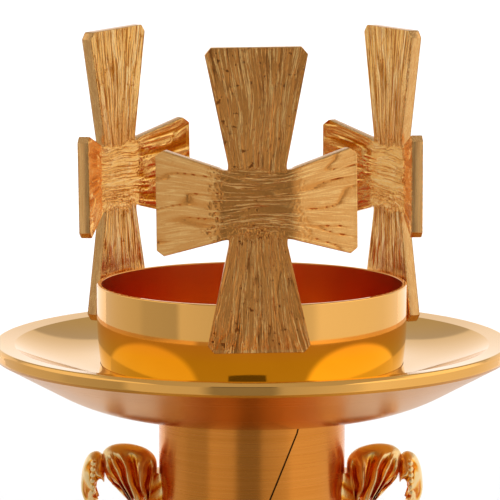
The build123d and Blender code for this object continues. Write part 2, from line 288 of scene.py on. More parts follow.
class Shader(Nodes):
    """The node tree of one material."""

    def __init__(self, name, metallic=1.0):
        self.material = bpy.data.materials.new(name)
        self.material.use_nodes = True
        super().__init__(self.material.node_tree)
        self.surface = self.tree.nodes["Principled BSDF"]
        self.surface.inputs["Metallic"].default_value = metallic
        self.place = self.add("ShaderNodeTexCoord").outputs["Object"]

    def stretched(self, x, y, z):
        """Object coordinates scaled by features per metre along each axis."""
        return self.add("ShaderNodeMapping", Vector=self.place, Scale=(x, y, z)).outputs[0]

    def rings(self):
        """Distance from the stem's axis, and height, as a vector with no angle in it."""
        parts = self.add("ShaderNodeSeparateXYZ", Vector=self.place)
        across = self.math("MULTIPLY", parts.outputs["X"], parts.outputs["X"])
        along = self.math("MULTIPLY", parts.outputs["Y"], parts.outputs["Y"])
        radius = self.math("SQRT", self.math("ADD", across, along))
        return self.add("ShaderNodeCombineXYZ", X=radius, Z=parts.outputs["Z"]).outputs[0]

    def finish(self, colour, roughness, normal=None):
        self.set(self.surface, "Base Color", colour)
        self.set(self.surface, "Roughness", roughness)
        if normal is not None:
            self.set(self.surface, "Normal", normal)
        return self.material


def polished_gold():
    """Mirror-polished plate with faint spinning marks, dulled a little in patches."""
    shader = Shader("polished_gold")
    patches = shader.noise(shader.place, 30.0, 3.0)
    colour = shader.ramp(patches, [(0.3, GOLD_DEEP), (0.6, GOLD)])
    turning = shader.noise(shader.rings(), 1500.0, 2.0)
    smears = shader.noise(shader.place, 55.0, 4.0, 0.65)
    roughness = shader.ramp(smears, [(0.35, 0.045), (0.75, 0.11)])
    waves = shader.bump(shader.noise(shader.place, 38.0, 1.0), 0.12, 0.35)
    normal = shader.bump(turning, 0.004, 0.5, waves)
    return shader.finish(colour, roughness, normal)


def cup_gold():
    """The cup's outside: mirror polish, deeper in colour towards the foot.

    The deeper colour stands for light that goes back and forth between the cup and the dish.
    """
    shader = Shader("cup_gold")
    height = shader.add("ShaderNodeSeparateXYZ", Vector=shader.place).outputs["Z"]
    smears = shader.noise(shader.place, 55.0, 4.0, 0.65)
    above = shader.math("SUBTRACT", height, (RIM_Z - 20.0) * MM)
    above = shader.math("MULTIPLY", above, 100.0)
    above = shader.math("ADD", above, shader.math("MULTIPLY", smears, 0.05))
    colour = shader.ramp(above, [(0.1, (0.98, 0.60, 0.045)), (0.9, GOLD)])
    roughness = shader.ramp(smears, [(0.35, 0.035), (0.75, 0.09)])
    turning = shader.noise(shader.rings(), 1500.0, 2.0)
    waves = shader.bump(shader.noise(shader.place, 38.0, 1.0), 0.10, 0.3)
    return shader.finish(colour, roughness, shader.bump(turning, 0.004, 0.4, waves))


def engraved_line():
    """The engraved groove, left dark."""
    shader = Shader("engraved_line")
    grit = shader.noise(shader.place, 2200.0, 3.0, 0.6)
    colour = shader.ramp(grit, [(0.3, (0.07, 0.025, 0.008)), (0.7, (0.20, 0.08, 0.02))])
    return shader.finish(colour, 0.5, shader.bump(grit, 0.03, 0.6))


def tray_gold():
    """The dish's tray and lip: the same mirror polish, a little deeper in colour."""
    shader = Shader("tray_gold")
    patches = shader.noise(shader.place, 24.0, 2.0)
    colour = shader.ramp(patches, [(0.3, (0.86, 0.45, 0.09)), (0.7, (0.93, 0.50, 0.11))])
    turning = shader.noise(shader.rings(), 1300.0, 2.0)
    smears = shader.noise(shader.place, 48.0, 4.0, 0.65)
    roughness = shader.ramp(smears, [(0.35, 0.04), (0.75, 0.09)])
    return shader.finish(colour, roughness, shader.bump(turning, 0.004, 0.5))


def satin_inside():
    """The cup's inside: turned, not polished."""
    shader = Shader("satin_inside")
    lines = shader.noise(shader.rings(), 2600.0, 3.0, 0.7)
    patches = shader.noise(shader.place, 40.0, 3.0)
    colour = shader.ramp(patches, [(0.3, (0.82, 0.34, 0.07)), (0.7, (0.90, 0.42, 0.10))])
    roughness = shader.ramp(lines, [(0.3, 0.16), (0.7, 0.24)])
    return shader.finish(colour, roughness, shader.bump(lines, 0.012, 0.6))


def satin_underside_painted_shade():
    """The dish's underside: spun and only lightly polished, its brass coloured darker as painted shade
    under the dish.
    """
    shader = Shader("satin_underside_painted_shade")
    lines = shader.noise(shader.rings(), 1800.0, 3.0, 0.7)
    patches = shader.noise(shader.place, 30.0, 3.0)
    # Painted shade: a darker copy of the dish's brass, for the shadow under the dish.
    colour = shader.ramp(patches, [(0.3, (0.58, 0.23, 0.018)), (0.65, (0.68, 0.28, 0.028))])
    roughness = shader.ramp(lines, [(0.3, 0.22), (0.7, 0.28)])
    return shader.finish(colour, roughness, shader.bump(lines, 0.004, 0.3))


def brushed_gold():
    """The stem: brushed round and round with emery, so lights smear up and down."""
    shader = Shader("brushed_gold")
    lines = shader.noise(shader.stretched(18.0, 18.0, 2600.0), 1.0, 3.0, 0.7)
    broad = shader.noise(shader.stretched(9.0, 9.0, 420.0), 1.0, 2.0)
    colour = shader.ramp(lines, [(0.25, (0.70, 0.235, 0.028)), (0.75, (0.82, 0.30, 0.05))])
    roughness = shader.ramp(broad, [(0.3, 0.22), (0.7, 0.30)])
    shader.surface.inputs["Anisotropic"].default_value = 0.9
    shader.surface.inputs["Anisotropic Rotation"].default_value = 0.25
    tangent = shader.add("ShaderNodeTangent")
    tangent.direction_type = "RADIAL"
    tangent.axis = "Z"
    shader.set(shader.surface, "Tangent", tangent.outputs[0])
    return shader.finish(colour, roughness, shader.bump(lines, 0.015, 0.25))


def bark_gold(name, valley_patina_and_shade, ground, crest, streak_height, rough_low, rough_high):
    """Cast bark: dark in the grooves, partly patina and partly painted shade; lighter on the crests and
    streaks, partly rubbed wear and partly painted highlight; streaked along the grain.
    """
    shader = Shader(name)
    wood = shader.stored("grain").outputs["Vector"]
    strength = shader.add("ShaderNodeSeparateXYZ", Vector=wood).outputs["Z"]
    ripple = shader.math("SUBTRACT", shader.noise(wood, 0.62, 3.0, 0.6), 0.5)
    thread = shader.math("SUBTRACT", 1.0, shader.math("MULTIPLY", shader.math("ABSOLUTE", ripple), 17.0))
    gaps = shader.ramp(shader.noise(wood, 0.9, 1.0), [(0.44, 0.0), (0.50, 1.0)])
    streaks = shader.math("MULTIPLY", shader.math("MAXIMUM", thread, 0.0), gaps)
    fibres = shader.math("SUBTRACT", shader.noise(wood, 1.9, 3.0, 0.6), 0.5)
    pits = shader.ramp(shader.noise(shader.place, 620.0, 2.0), [(0.64, 0.0), (0.70, 1.0)])
    specks = shader.noise(shader.place, 1500.0, 3.0, 0.6)
    height = shader.math("MULTIPLY", shader.stored("relief").outputs["Fac"], 0.5)
    for field, amount in ((streaks, streak_height), (fibres, 0.30), (pits, -0.30)):
        height = shader.plus(height, shader.math("MULTIPLY", field, strength), amount)
    height = shader.math("ADD", shader.plus(height, specks, 0.08), 0.22)
    shader.set(shader.surface, "Specular Tint", (1.0, 0.86, 0.68, 1.0))
    # Painted shade in the grooves and painted highlight on the crests and streaks, on top of patina and
    # wear.
    colour = shader.ramp(height, [(0.30, valley_patina_and_shade), (0.44, ground), (0.60, ground), (0.78, crest)])
    roughness = shader.ramp(specks, [(0.3, rough_low), (0.7, rough_high)])
    fine = shader.bump(specks, 0.03, 0.7)
    return shader.finish(colour, roughness, shader.bump(height, 0.42, 1.0, fine))


def filed_gold():
    """Sawn and filed edges of the castings."""
    shader = Shader("filed_gold")
    lines = shader.noise(shader.stretched(1400.0, 1400.0, 90.0), 1.0, 3.0, 0.6)
    colour = shader.ramp(lines, [(0.3, (0.74, 0.37, 0.12)), (0.7, (0.92, 0.52, 0.19))])
    roughness = shader.ramp(lines, [(0.3, 0.2), (0.7, 0.32)])
    return shader.finish(colour, roughness, shader.bump(lines, 0.03, 0.5))


def cast_gold():
    """The leaf scrolls, cast: the high spots coloured pale as a painted highlight, the hollows coloured
    dark as painted shade.
    """
    shader = Shader("cast_gold")
    grain = shader.noise(shader.place, 480.0, 4.0, 0.65)
    height = shader.plus(shader.stored("relief").outputs["Fac"], grain, 0.3)
    hollow, body, crest = (0.76, 0.22, 0.01), (0.98, 0.48, 0.07), (0.99, 0.70, 0.32)
    # Painted shade in the hollows, painted highlight on the crests.
    colour = shader.ramp(height, [(0.5, hollow), (0.75, body), (0.95, crest)])
    roughness = shader.ramp(height, [(0.3, 0.18), (0.95, 0.33)])
    return shader.finish(colour, roughness, shader.bump(grain, 0.22, 0.8))


def turned_metal(name, dark, light, low, high):
    """Plain turned brass or steel for screws, nuts and plugs."""
    shader = Shader(name)
    lines = shader.noise(shader.rings(), 1800.0, 3.0)
    spots = shader.noise(shader.place, 300.0, 3.0)
    mixed = shader.math("MULTIPLY", shader.math("ADD", lines, spots), 0.5)
    colour = shader.ramp(mixed, [(0.35, dark), (0.65, light)])
    roughness = shader.ramp(spots, [(0.3, low), (0.7, high)])
    return shader.finish(colour, roughness, shader.bump(lines, 0.01, 0.5))


def cast_iron():
    shader = Shader("cast_iron")
    grain = shader.noise(shader.place, 1200.0, 5.0, 0.7)
    colour = shader.ramp(grain, [(0.3, 0.03), (0.7, 0.09)])
    return shader.finish(colour, 0.6, shader.bump(grain, 0.2, 0.9))


def green_felt():
    shader = Shader("green_felt", metallic=0.0)
    fibres = shader.noise(shader.place, 2600.0, 6.0, 0.75)
    clumps = shader.noise(shader.place, 260.0, 3.0)
    mixed = shader.math("MULTIPLY", shader.math("ADD", fibres, clumps), 0.5)
    colour = shader.ramp(mixed, [(0.35, (0.018, 0.045, 0.025)), (0.65, (0.05, 0.12, 0.06))])
    shader.surface.inputs["Sheen Weight"].default_value = 0.6
    return shader.finish(colour, 0.95, shader.bump(fibres, 0.25, 1.0))


MIRROR = polished_gold()
CUP_GOLD = cup_gold()
ENGRAVED = engraved_line()
TRAY_GOLD = tray_gold()
SATIN = satin_inside()
BRUSHED = brushed_gold()
BARK_FRONT = bark_gold(
    "bark_front", (0.28, 0.09, 0.015), (0.72, 0.30, 0.068), (0.99, 0.59, 0.21), 1.1, 0.17, 0.26
)
# The back faces get lighter colours than the front faces: partly a brighter polish, partly painted light
# for the light thrown back and forth between the crosses and the cup.
BARK_BACK = bark_gold(
    "bark_back", (0.66, 0.23, 0.015), (0.96, 0.53, 0.15), (0.99, 0.70, 0.34), -0.75, 0.18, 0.27
)
UNDERSIDE = satin_underside_painted_shade()
FILED = filed_gold()
CAST = cast_gold()
PLAIN_BRASS = turned_metal("plain_brass", (0.60, 0.42, 0.16), (0.80, 0.60, 0.28), 0.2, 0.35)
PLAIN_STEEL = turned_metal("plain_steel", (0.38, 0.38, 0.40), (0.58, 0.58, 0.60), 0.25, 0.4)
IRON = cast_iron()
FELT = green_felt()


# ---- candle cup ----------------------------------------------------------------------
CUP_BELLY = 130.0
CUP_TOP_STRAIGHT = 9.0
CUP_INNER_BELLY = 108.0
CUP_BORE = 50.4
CUP_STRAIGHT = 12.0
CUP_FLOOR = 1.5


def make_cup():
    height = RIM_Z - CUP_FOOT_Z
    inner_height = height - CUP_FLOOR

    def outside(depth):
        return CUP_RADIUS - max(0.0, depth - CUP_TOP_STRAIGHT) ** 2 / (2 * CUP_BELLY)

    def inside(depth):
        return CUP_BORE - (depth - CUP_STRAIGHT) ** 2 / (2 * CUP_INNER_BELLY)

    corners = [(ROD_HOLE, CUP_FOOT_Z, 0.2), (outside(height), CUP_FOOT_Z, 6.0)]
    for depth in np.linspace(height - 8.0, 3.0, 26):
        corners.append((outside(depth), RIM_Z - depth, 0.0))
    corners.append((outside(0), RIM_Z, 0.6))
    corners.append((CUP_BORE, RIM_Z, 0.35))
    corners.append((CUP_BORE, RIM_Z - CUP_STRAIGHT, 0.0))
    for depth in np.linspace(CUP_STRAIGHT + 1.0, inner_height - 6.5, 18):
        corners.append((inside(depth), RIM_Z - depth, 0.0))
    corners.append((inside(inner_height), CUP_FOOT_Z + CUP_FLOOR, 4.5))
    corners.append((ROD_HOLE, CUP_FOOT_Z + CUP_FLOOR, 0.2))

    def is_inside(r, z, out_r, out_z):
        return out_r < -0.3 or (out_z > 0.3 and z < RIM_Z - 5.0)

    cup = lathe("cup", rounded_path(corners), 320, is_inside)
    finish_piece(cup, [CUP_GOLD, SATIN], "candle_cup")


# ---- drip dish -----------------------------------------------------------------------
DISH_BEND_RADIUS = 56.5
DISH_BEND_RISE = 3.4
DISH_BAND = 4.85
DISH_LIP_WIDTH = 7.45
DISH_LIP_FALL = 0.7
DISH_TRAY_SLOPE = 26.0
DISH_WELL_RADIUS = 50.85
DISH_SEAT_RADIUS = 38.0
DISH_SEAT_RISE = 2.5
DISH_WELL_RISE = 2.2


def make_dish():
    bend_z = DISH_FOOT_Z + DISH_BEND_RISE
    band_z = DISH_LIP_Z - DISH_BAND
    seat_z = DISH_FOOT_Z + DISH_SEAT_RISE
    lip_inner = DISH_RADIUS - DISH_LIP_WIDTH
    lip_inner_z = DISH_LIP_Z - DISH_LIP_FALL
    steepest = math.radians(DISH_TRAY_SLOPE)
    hollow = (lip_inner - DISH_WELL_RADIUS) / math.sin(steepest)
    tray_z = lip_inner_z - hollow * (1 - math.cos(steepest))
    corners = [
        (ROD_HOLE, DISH_FOOT_Z, 0.2),
        (STEM_RADIUS + 0.2, DISH_FOOT_Z, 8.0),
        (DISH_BEND_RADIUS, bend_z, 60.0),
        (DISH_RADIUS - 1.0, band_z, 0.5),
        (DISH_RADIUS, band_z + 1.2, 1.6),
        (DISH_RADIUS, DISH_LIP_Z - 1.2, 1.6),
        (DISH_RADIUS - 1.1, DISH_LIP_Z, 0.9),
        (lip_inner, lip_inner_z, 0.8),
    ]
    for slope in np.linspace(steepest * 0.97, steepest * 0.04, 24):
        r = DISH_WELL_RADIUS + hollow * math.sin(slope)
        corners.append((r, tray_z + hollow * (1 - math.cos(slope)), 0.0))
    corners.append((DISH_WELL_RADIUS, tray_z, 0.1))
    corners.append((DISH_WELL_RADIUS, seat_z + DISH_WELL_RISE, 0.5))
    corners.append((DISH_SEAT_RADIUS, seat_z, 0.5))
    corners.append((ROD_HOLE, seat_z, 0.2))

    def slot_of(r, z, out_r, out_z):
        if out_z < -0.5:
            return 1
        return 2 if out_z > 0.7 else 0

    dish = lathe("dish", rounded_path(corners, 12), 384, slot_of)
    finish_piece(dish, [MIRROR, UNDERSIDE, TRAY_GOLD], "drip_dish")


# ---- crosses -------------------------------------------------------------------------
CROSS_THICKNESS = 4.0
CROSS_BACK = CUP_RADIUS - 0.4
TOP_CLEARANCE = 0.02  # keeps the crosses' tops inside the CAD's box
CROSS_TOP = corner_mm("cross_rear_right", True).z - RIM_Z - TOP_CLEARANCE
CROSS_FOOT = 15.0
CROSS_REACH = 32.6
CROSS_WAIST = 8.9
CROSS_END = 16.5
CROSS_CHAMFER = 2.4
ARM_AXIS = 33.0
ARM_ROOT = 10.6
ARM_END = 17.1
ARM_CREASE = 12.0
ARM_SET_IN = 8.4
INNER_FILLET = 0.6
BEVEL = 0.4
RELIEF_DEPTH = 0.55
ARM_STREAKS = 0.08
CENTRE_STREAKS = 0.35
# The seed, the ground level of the upright and of the arms, the height of the folds on the arms
# and at the centre, and how far the centre is sunk.
FRONT_BARK = (11, 0.42, 0.80, 0.06, 0.42, 0.30)
BACK_BARK = (47, 0.76, 0.36, 0.75, 0.22, -0.38)
SCREW_DEPTH = 11.0
# Fitted: the turn round the cup and the lean of each cross, in degrees.
CROSSES = {
    "front_cross": ("cross_front", 2.5, 0.6),
    "left_cross": ("cross_rear_left", -121.7, -1.5),
    "right_cross": ("cross_rear_right", 117.3, 0.0),
}


def graded(count):
    """Positions from -1 to 1, crowded at both ends for the rounded edges."""
    inner = np.linspace(-0.95, 0.95, count)
    return np.concatenate([[-1.0, -0.992, -0.978], inner, [0.978, 0.992, 1.0]])


def graded_end(count):
    """Positions from 0 to 1, crowded at 1."""
    return np.concatenate([np.linspace(0.0, 0.975, count), [0.989, 0.996, 1.0]])


def arm_grid(start, end, root_half, end_half, block_half, across, along):
    """Points of one flared arm: distance out along the arm, and offset across it.

    Also gives each point's distance to the arm's free edges.
    """
    side_end = end - CROSS_CHAMFER
    end_at = end - np.maximum(0.0, np.abs(across) * end_half - (end_half - CROSS_CHAMFER))
    out = start + along[:, None] * (end_at - start)[None, :]
    root = start - INNER_FILLET
    half = root_half + (end_half - root_half) * (out - root) / (side_end - root)
    flare = block_half - (root_half + (end_half - root_half) * INNER_FILLET / (side_end - root))
    half = half + flare * np.clip(1 - (out - start) / 2.4, 0, 1) ** 2
    offset = across[None, :] * half
    edge = np.minimum((1 - np.abs(across))[None, :] * half, end_at[None, :] - out)
    return out, offset, edge


def bark(u, z, seed, ground, arm_ground, arm_folds, centre_folds, sunk):
    """Relief from 0 to 1 over a cross, and the direction of its grain.

    Fine crests fan out up and down the upright; the side arms are smoother, with thin cracks.
    The grain's third component is how strongly the fine streaks show.
    """
    up = z - ARM_AXIS
    reach = np.where(up > 0, CROSS_TOP - ARM_AXIS, CROSS_FOOT + ARM_AXIS)
    upright_half = CROSS_WAIST + (CROSS_END - CROSS_WAIST) * np.clip(
        (np.abs(up) - ARM_ROOT) / (reach - ARM_ROOT), 0, 1
    )
    side_half = ARM_ROOT + (ARM_END - ARM_ROOT) * np.clip(
        (np.abs(u) - CROSS_WAIST) / (CROSS_REACH - CROSS_WAIST), 0, 1
    )
    wander = 2.2 * (field_noise(z * 0.06, u * 0.10, seed + 1) - 0.5)
    fan = u / upright_half * 13.0 + wander
    broken = smoothstep(field_noise(fan * 0.45, z * 0.11, seed + 2), 0.25, 0.6)
    crests = ridge(field_noise(fan * 0.78, z * 0.05, seed + 3)) ** 4 * broken
    grooves = ridge(field_noise(fan * 0.70, z * 0.05, seed + 5)) ** 6
    upright = ground + 0.30 * crests - 0.30 * grooves

    drift = 1.6 * (field_noise(u * 0.08, z * 0.10, seed + 7) - 0.5)
    sweep = up / side_half * 13.0 + drift
    cracks = ridge(field_noise(sweep * 0.40, u * 0.06, seed + 8)) ** 16
    cracks = cracks * smoothstep(np.abs(u), ARM_CREASE, ARM_CREASE + 6.0)
    folded = ridge(field_noise(sweep * 0.7, u * 0.09, seed + 9)) ** 2
    threads = field_noise(sweep * 2.2, u * 0.25, seed + 10)
    folds = arm_folds + (centre_folds - arm_folds) * np.exp(-((u / ARM_CREASE) ** 2))
    sides = arm_ground - 0.60 * cracks + folds * (folded - 0.4) + 0.06 * (threads - 0.5)

    edge = 10.6 + 2.4 * (field_noise(u * 0.45, np.sign(up) * 7.0, seed + 11) - 0.5)
    level = smoothstep(np.abs(up), edge - 1.0, edge + 1.0)
    level = level * (1 - smoothstep(np.abs(u), upright_half + 0.2, upright_half + 0.8))
    centre = np.clip(1 - np.abs(u) / (ARM_CREASE + 2.0), 0, 1) ** 0.5 * (1 - level)
    relief = level * upright + (1 - level) * (sides - sunk * centre)
    ragged = ARM_CREASE + 1.8 + 5.0 * (field_noise(up * 0.35, np.sign(u) * 5.0, seed + 14) - 0.5)
    crease = np.exp(-(((np.abs(u) - ragged) / 2.0) ** 2)) * (1 - level)
    crease = crease * np.where(u > 0, 0.35, 1.0)
    low = np.exp(-((u / 9.0) ** 2 + ((up + 8.5) / 3.5) ** 2))
    pits = smoothstep(field_noise(u * 2.1, z * 1.9, seed + 12), 0.55, 0.75)
    relief = relief - pits * np.clip(crease * 0.9 + 0.6 * low, 0, 1) * 0.6
    upward = level > 0.5
    across = np.where(upward, fan * 1.7, sweep * 1.3 + 50.0)
    along = np.where(upward, z * 0.06, u * 0.06)
    arm_streaks = ARM_STREAKS + CENTRE_STREAKS * centre
    strength = np.where(upward, 2 * level - 1, arm_streaks * (1 - 2 * level))
    return np.clip(relief, 0.0, 1.0), np.stack([across, along, strength], axis=-1)


def bent(distance, turn):
    """Front surface of a side arm, out from the middle: sideways, inwards, and its tilt."""
    steps = np.linspace(0.0, 60.0, 1201)
    tilt = turn * smoothstep(steps, ARM_CREASE - 2.0, ARM_CREASE + 2.0)
    gap = steps[1] - steps[0]
    sideways = np.concatenate([[0.0], np.cumsum(np.cos(tilt[:-1]) * gap)])
    inwards = np.concatenate([[0.0], np.cumsum(np.sin(tilt[:-1]) * gap)])
    run = np.interp(distance, sideways, steps)
    return np.interp(run, steps, inwards), np.interp(run, steps, tilt)


def cross_points(u, z, edge, front, bend_arms):
    """Points (across, outwards, up) of one face of a cross, its relief and its grain."""
    relief, grain = bark(u, z, *(FRONT_BARK if front else BACK_BARK))
    fade = smoothstep(edge, 0.0, 0.9)
    depth = RELIEF_DEPTH * (1 - relief) * fade
    lip = np.clip(1 - edge / BEVEL, 0, 1)
    rounding = BEVEL * (1 - np.sqrt(1 - lip**2))
    depth = depth + rounding
    if front:
        w = CROSS_THICKNESS - depth
    else:
        seated = 1 - smoothstep(z, 0.0, 2.5)
        saddle = np.sqrt(np.maximum(CUP_RADIUS**2 - u**2, 0.0)) - CROSS_BACK
        w = depth * (1 - seated) + np.maximum(saddle, 0.0) * (1 - smoothstep(z, 0.0, 0.4))
        w = np.maximum(w, rounding)
    if not bend_arms:
        return np.stack([u, w, z], axis=-1), relief, grain
    turn = math.atan2(ARM_SET_IN, CROSS_REACH - ARM_CREASE)
    inwards, tilt = bent(np.abs(u), turn)
    below = CROSS_THICKNESS - w
    across = np.sign(u) * (np.abs(u) - below * np.sin(tilt))
    outwards = CROSS_THICKNESS - inwards - below * np.cos(tilt)
    return np.stack([across, outwards, z], axis=-1), relief, grain


def cross_patches(top):
    """The five patches of a cross as (u, z, edge distance, bent, free outline)."""
    across_u = graded(92)
    across_z = graded(80)
    block_u = CROSS_WAIST + INNER_FILLET
    block_z = ARM_ROOT + INNER_FILLET
    u = across_u[:, None] * block_u * np.ones_like(across_z)[None, :]
    z = ARM_AXIS + across_z[None, :] * block_z * np.ones_like(across_u)[:, None]
    corner = np.hypot(block_u - np.abs(u), block_z - np.abs(z - ARM_AXIS))
    yield u, z, corner, False, False
    for sign, end in ((1, top - ARM_AXIS), (-1, CROSS_FOOT + ARM_AXIS)):
        out, offset, edge = arm_grid(
            block_z, end, CROSS_WAIST, CROSS_END, block_u, across_u, graded_end(84)
        )
        yield offset, ARM_AXIS + sign * out, edge, False, True
    for sign in (1, -1):
        out, offset, edge = arm_grid(
            block_u, CROSS_REACH, ARM_ROOT, ARM_END, block_z, across_z, graded_end(56)
        )
        yield sign * out, ARM_AXIS + offset, edge, True, True


def lean_and_turn(local, azimuth, lean):
    """Cross points (across, outwards, up) leaned about the screws and turned round the cup."""
    lean = math.radians(lean)
    angle = math.radians(azimuth)
    above = local[:, 2] + SCREW_DEPTH
    across = local[:, 0] * math.cos(lean) - above * math.sin(lean)
    up = local[:, 0] * math.sin(lean) + above * math.cos(lean) - SCREW_DEPTH
    out = np.array([math.sin(angle), -math.cos(angle)])
    around = np.array([math.cos(angle), math.sin(angle)])
    plan = across[:, None] * around + (CROSS_BACK + local[:, 1:2]) * out
    return np.column_stack([plan, RIM_Z + up])


def make_cross(name, node, azimuth, lean):
    points, quads, marks, heights, grains = [], [], [], [], []
    start = 0

    def put(grid, relief, grain, mark):
        nonlocal start
        rows, columns = grid.shape[:2]
        points.append(grid.reshape(-1, 3))
        heights.append(relief.reshape(-1))
        grains.append(grain.reshape(-1, 3))
        fresh = grid_quads(rows, columns, start)
        quads.append(fresh)
        marks.append(np.full(len(fresh), mark))
        start += rows * columns

    corner_lift = (CROSS_END - CROSS_CHAMFER) * math.sin(math.radians(abs(lean)))
    top = (CROSS_TOP + SCREW_DEPTH - corner_lift) / math.cos(math.radians(lean)) - SCREW_DEPTH
    for u, z, edge, bend_arms, free in cross_patches(top):
        faces = []
        for front in (True, False):
            grid, relief, grain = cross_points(u, z, edge, front, bend_arms)
            put(grid, relief, grain, 0 if front else 1)
            faces.append(grid)
        if free:
            rims = [
                np.concatenate([face[:, 0], face[-1, 1:-1], face[::-1, -1]]) for face in faces
            ]
            wall = np.stack([rims[0] * (1 - t) + rims[1] * t for t in (0.0, 0.5, 1.0)])
            put(wall, np.full(wall.shape[:2], 0.8), wall, 2)
    world = lean_and_turn(np.concatenate(points), azimuth, lean)
    piece = mesh_piece(name, world, np.concatenate(quads), np.concatenate(marks))
    store(piece, "relief", "FLOAT", "value", heights)
    store(piece, "grain", "FLOAT_VECTOR", "vector", grains)
    weld(piece)
    finish_piece(piece, [BARK_FRONT, BARK_BACK, FILED], node, 48)


# ---- stem ----------------------------------------------------------------------------
LINE_TOP_X = 15.9
LINE_FOOT_X = -16.0
LINE_FOOT_Z = RIM_Z - 121.6
LINE_HALF = 0.32
LINE_DEPTH = 0.4
STEM_WALL = 2.0
STEM_CHAMFER = 0.25


def make_stem():
    """A tube whose mesh lines follow the engraved line, so the groove is sharp."""
    rows = 120
    z = np.linspace(STEM_LOW_Z, STEM_TOP_Z, rows)
    along = np.clip((z - LINE_FOOT_Z) / (STEM_TOP_Z - LINE_FOOT_Z), 0, 1)
    line_x = LINE_FOOT_X + (LINE_TOP_X - LINE_FOOT_X) * along
    line_angle = np.arcsin(line_x / STEM_RADIUS)
    cut = smoothstep(z, LINE_FOOT_Z, LINE_FOOT_Z + 6.0)
    groove = np.array([-1.0, -0.8, -0.4, 0.0, 0.4, 0.8, 1.0]) * LINE_HALF / STEM_RADIUS
    groove_depth = np.array([0.0, 0.55, 0.95, 1.0, 0.95, 0.55, 0.0])
    rest = np.linspace(groove[-1], 2 * math.pi + groove[0], 260)[1:-1]
    spread = np.concatenate([groove, rest])
    depth = np.concatenate([groove_depth, np.zeros(len(rest))]) * LINE_DEPTH
    angle = line_angle[:, None] + spread[None, :]
    radius = STEM_RADIUS - cut[:, None] * depth[None, :]
    outer = np.stack([radius * np.sin(angle), -radius * np.cos(angle), z[:, None] + 0 * angle], -1)
    columns = len(spread)

    def ring_at(r, height, like):
        direction = outer[like, :, :2] / np.linalg.norm(outer[like, :, :2], axis=1)[:, None]
        return np.column_stack([direction * r, np.full(columns, height)])

    bore = STEM_RADIUS - STEM_WALL
    outer[[0, -1], :, :2] *= (STEM_RADIUS - STEM_CHAMFER) / STEM_RADIUS
    outer[-2, :, 2] = STEM_TOP_Z - STEM_CHAMFER
    outer[1, :, 2] = STEM_LOW_Z + STEM_CHAMFER
    shell = np.concatenate(
        [outer, ring_at(bore, STEM_TOP_Z, -1)[None], ring_at(bore, STEM_LOW_Z, 0)[None]]
    )
    quads = grid_quads(rows + 2, columns, close_rows=True, close_columns=True)
    engraved = np.zeros((rows + 2, columns), dtype=int)
    engraved[:rows][cut > 0.5, : len(groove) - 1] = 1
    stem = mesh_piece("stem", shell.reshape(-1, 3), quads, engraved.reshape(-1))
    weld(stem, 0.0005)
    finish_piece(stem, [BRUSHED, ENGRAVED], "stem_tube", 38)


# ---- leaf scrolls --------------------------------------------------------------------
def smooth_through(knots, t):
    """Catmull-Rom curve through the knots at t from 0 to 1."""
    knots = np.asarray(knots, float)
    padded = np.concatenate([[2 * knots[0] - knots[1]], knots, [2 * knots[-1] - knots[-2]]])
    place = np.clip(t, 0, 1) * (len(knots) - 1)
    index = np.minimum(place.astype(int), len(knots) - 2)
    f = (place - index)[:, None]
    a, b, c, d = (padded[index + k] for k in range(4))
    return 0.5 * (
        2 * b + (c - a) * f + (2 * a - 5 * b + 4 * c - d) * f**2 + (3 * b - a - 3 * c + d) * f**3
    )


def closed_sheet(upper, lower, relief):
    """Two facing grids sewn into one closed skin, with its relief values."""
    loop = np.concatenate([upper, lower[:, -2:0:-1]], axis=1)
    values = np.concatenate([relief, relief[:, -2:0:-1]], axis=1)
    count = loop.shape[1]
    ends = [np.repeat(row.mean(axis=0)[None, None], count, axis=1) for row in (loop[0], loop[-1])]
    body = np.concatenate([ends[0], loop, ends[1]])
    values = np.concatenate([values[:1], values, values[-1:]])
    return body, values


def leaf_fan(crest_knots, root, half_width, reach, ribs, groove):
    """A curled leaf end: fingers that drape from a crest line down to its root, both sides.

    Points are (distance from the stem's axis, across, height above the rim).
    """
    t = np.linspace(0, 1, 150)
    s = np.linspace(-1, 1, 72)
    crest = smooth_through(crest_knots, t)
    fall = np.asarray(root) - crest
    width = half_width * np.sin(math.pi * (0.12 + 0.76 * t)) ** 0.6
    bow = np.abs(s) * math.pi / 2
    drop = (1 - np.cos(bow)) ** 0.9
    fan = ribs * (t[:, None] + 0.05 * np.sin(9.0 * t)[:, None]) + 0.45 * np.sin(bow)[None, :]
    fan = fan + 0.9 * (field_noise(t[:, None] * 7.0, s[None, :] * 4.0, 91) - 0.5)
    finger = np.abs(np.cos(math.pi * fan)) ** 1.6
    threads = 0.5 + 0.5 * np.cos(math.pi * fan * 6.0)
    draped = smoothstep(np.abs(s), 0.22, 0.42)[None, :]
    relief = np.clip(0.95 + draped * (1.0 * finger + 0.15 * threads - 1.0), 0, 1)
    swell = groove * (relief - 1.0) * np.sin(bow)[None, :] ** 0.5
    length = np.linalg.norm(fall, axis=1)[:, None]
    down = fall[:, None, :] / length[:, :, None]
    draped_depth = reach * drop[None, :] * length * (1 - 0.1 * (1 - finger))
    sheets = []
    for inset in (0.0, 2.2):
        depth = draped_depth + inset * (1 - np.abs(s)[None, :] ** 6) - swell * np.cos(bow)[None, :]
        across = (width[:, None] - 0.8 * inset) * np.sin(bow)[None, :] + swell
        across = np.sign(s)[None, :] * across
        place = crest[:, None, :] + down * depth[:, :, None]
        sheets.append(np.stack([place[..., 0], across, place[..., 1]], axis=-1))
    edge = (sheets[0] + sheets[1]) / 2
    for sheet in sheets:
        sheet[:, 0] = edge[:, 0]
        sheet[:, -1] = edge[:, -1]
    return closed_sheet(sheets[0], sheets[1], relief)


